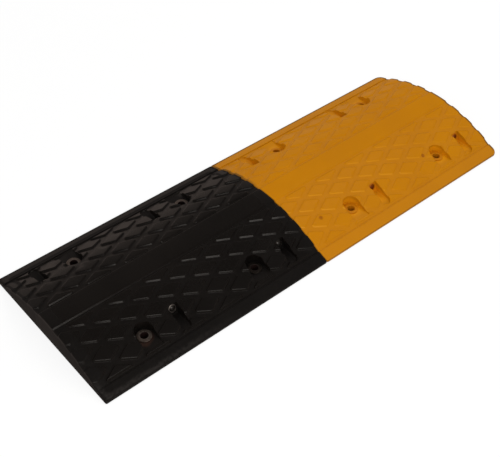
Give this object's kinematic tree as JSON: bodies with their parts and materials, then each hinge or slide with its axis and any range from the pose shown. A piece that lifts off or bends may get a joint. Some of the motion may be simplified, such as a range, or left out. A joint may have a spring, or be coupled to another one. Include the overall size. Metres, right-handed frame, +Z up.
{
  "type": "rubber speed bump",
  "caption": "Low arched rubber speed bump: a black and a yellow module end to end, with raised diamond treads, bushed bolt holes and cat's-eye reflectors in sloping pockets.",
  "frame": {"origin": "on the ground at the middle of the joint between the modules", "axes": "+X along the bump towards the yellow module, +Y across it in the driving direction, +Z up"},
  "size_m": [1, 0.35, 0.05],
  "materials": {
    "black_rubber": "moulded, slightly glossy",
    "yellow_rubber": "painted mustard yellow over moulded rubber, satin",
    "bush_steel": "dull zinc-plated steel",
    "bush_yellow_coat": "steel painted over with the module",
    "reflector_cup": "satin",
    "reflector_glass": "clear moulded glass"
  },
  "bodies": {
    "root": {"black_module": "black_rubber", "bolt_bush_black_front_left": "bush_steel", "reflector_cup_black_front_left": "reflector_cup", "reflector_glass_black_front_left": "reflector_glass", "bolt_bush_black_front_right": "bush_steel", "reflector_cup_black_front_right": "reflector_cup", "reflector_glass_black_front_right": "reflector_glass", "bolt_bush_black_rear_left": "bush_steel", "reflector_cup_black_rear_left": "reflector_cup", "reflector_glass_black_rear_left": "reflector_glass", "bolt_bush_black_rear_right": "bush_steel", "reflector_cup_black_rear_right": "reflector_cup", "reflector_glass_black_rear_right": "reflector_glass", "yellow_module": "yellow_rubber", "bolt_bush_yellow_front_left": "bush_yellow_coat", "reflector_cup_yellow_front_left": "reflector_cup", "reflector_glass_yellow_front_left": "reflector_glass", "bolt_bush_yellow_front_right": "bush_yellow_coat", "reflector_cup_yellow_front_right": "reflector_cup", "reflector_glass_yellow_front_right": "reflector_glass", "bolt_bush_yellow_rear_left": "bush_yellow_coat", "reflector_cup_yellow_rear_left": "reflector_cup", "reflector_glass_yellow_rear_left": "reflector_glass", "bolt_bush_yellow_rear_right": "bush_yellow_coat", "reflector_cup_yellow_rear_right": "reflector_cup", "reflector_glass_yellow_rear_right": "reflector_glass"}
  },
  "joints": []
}
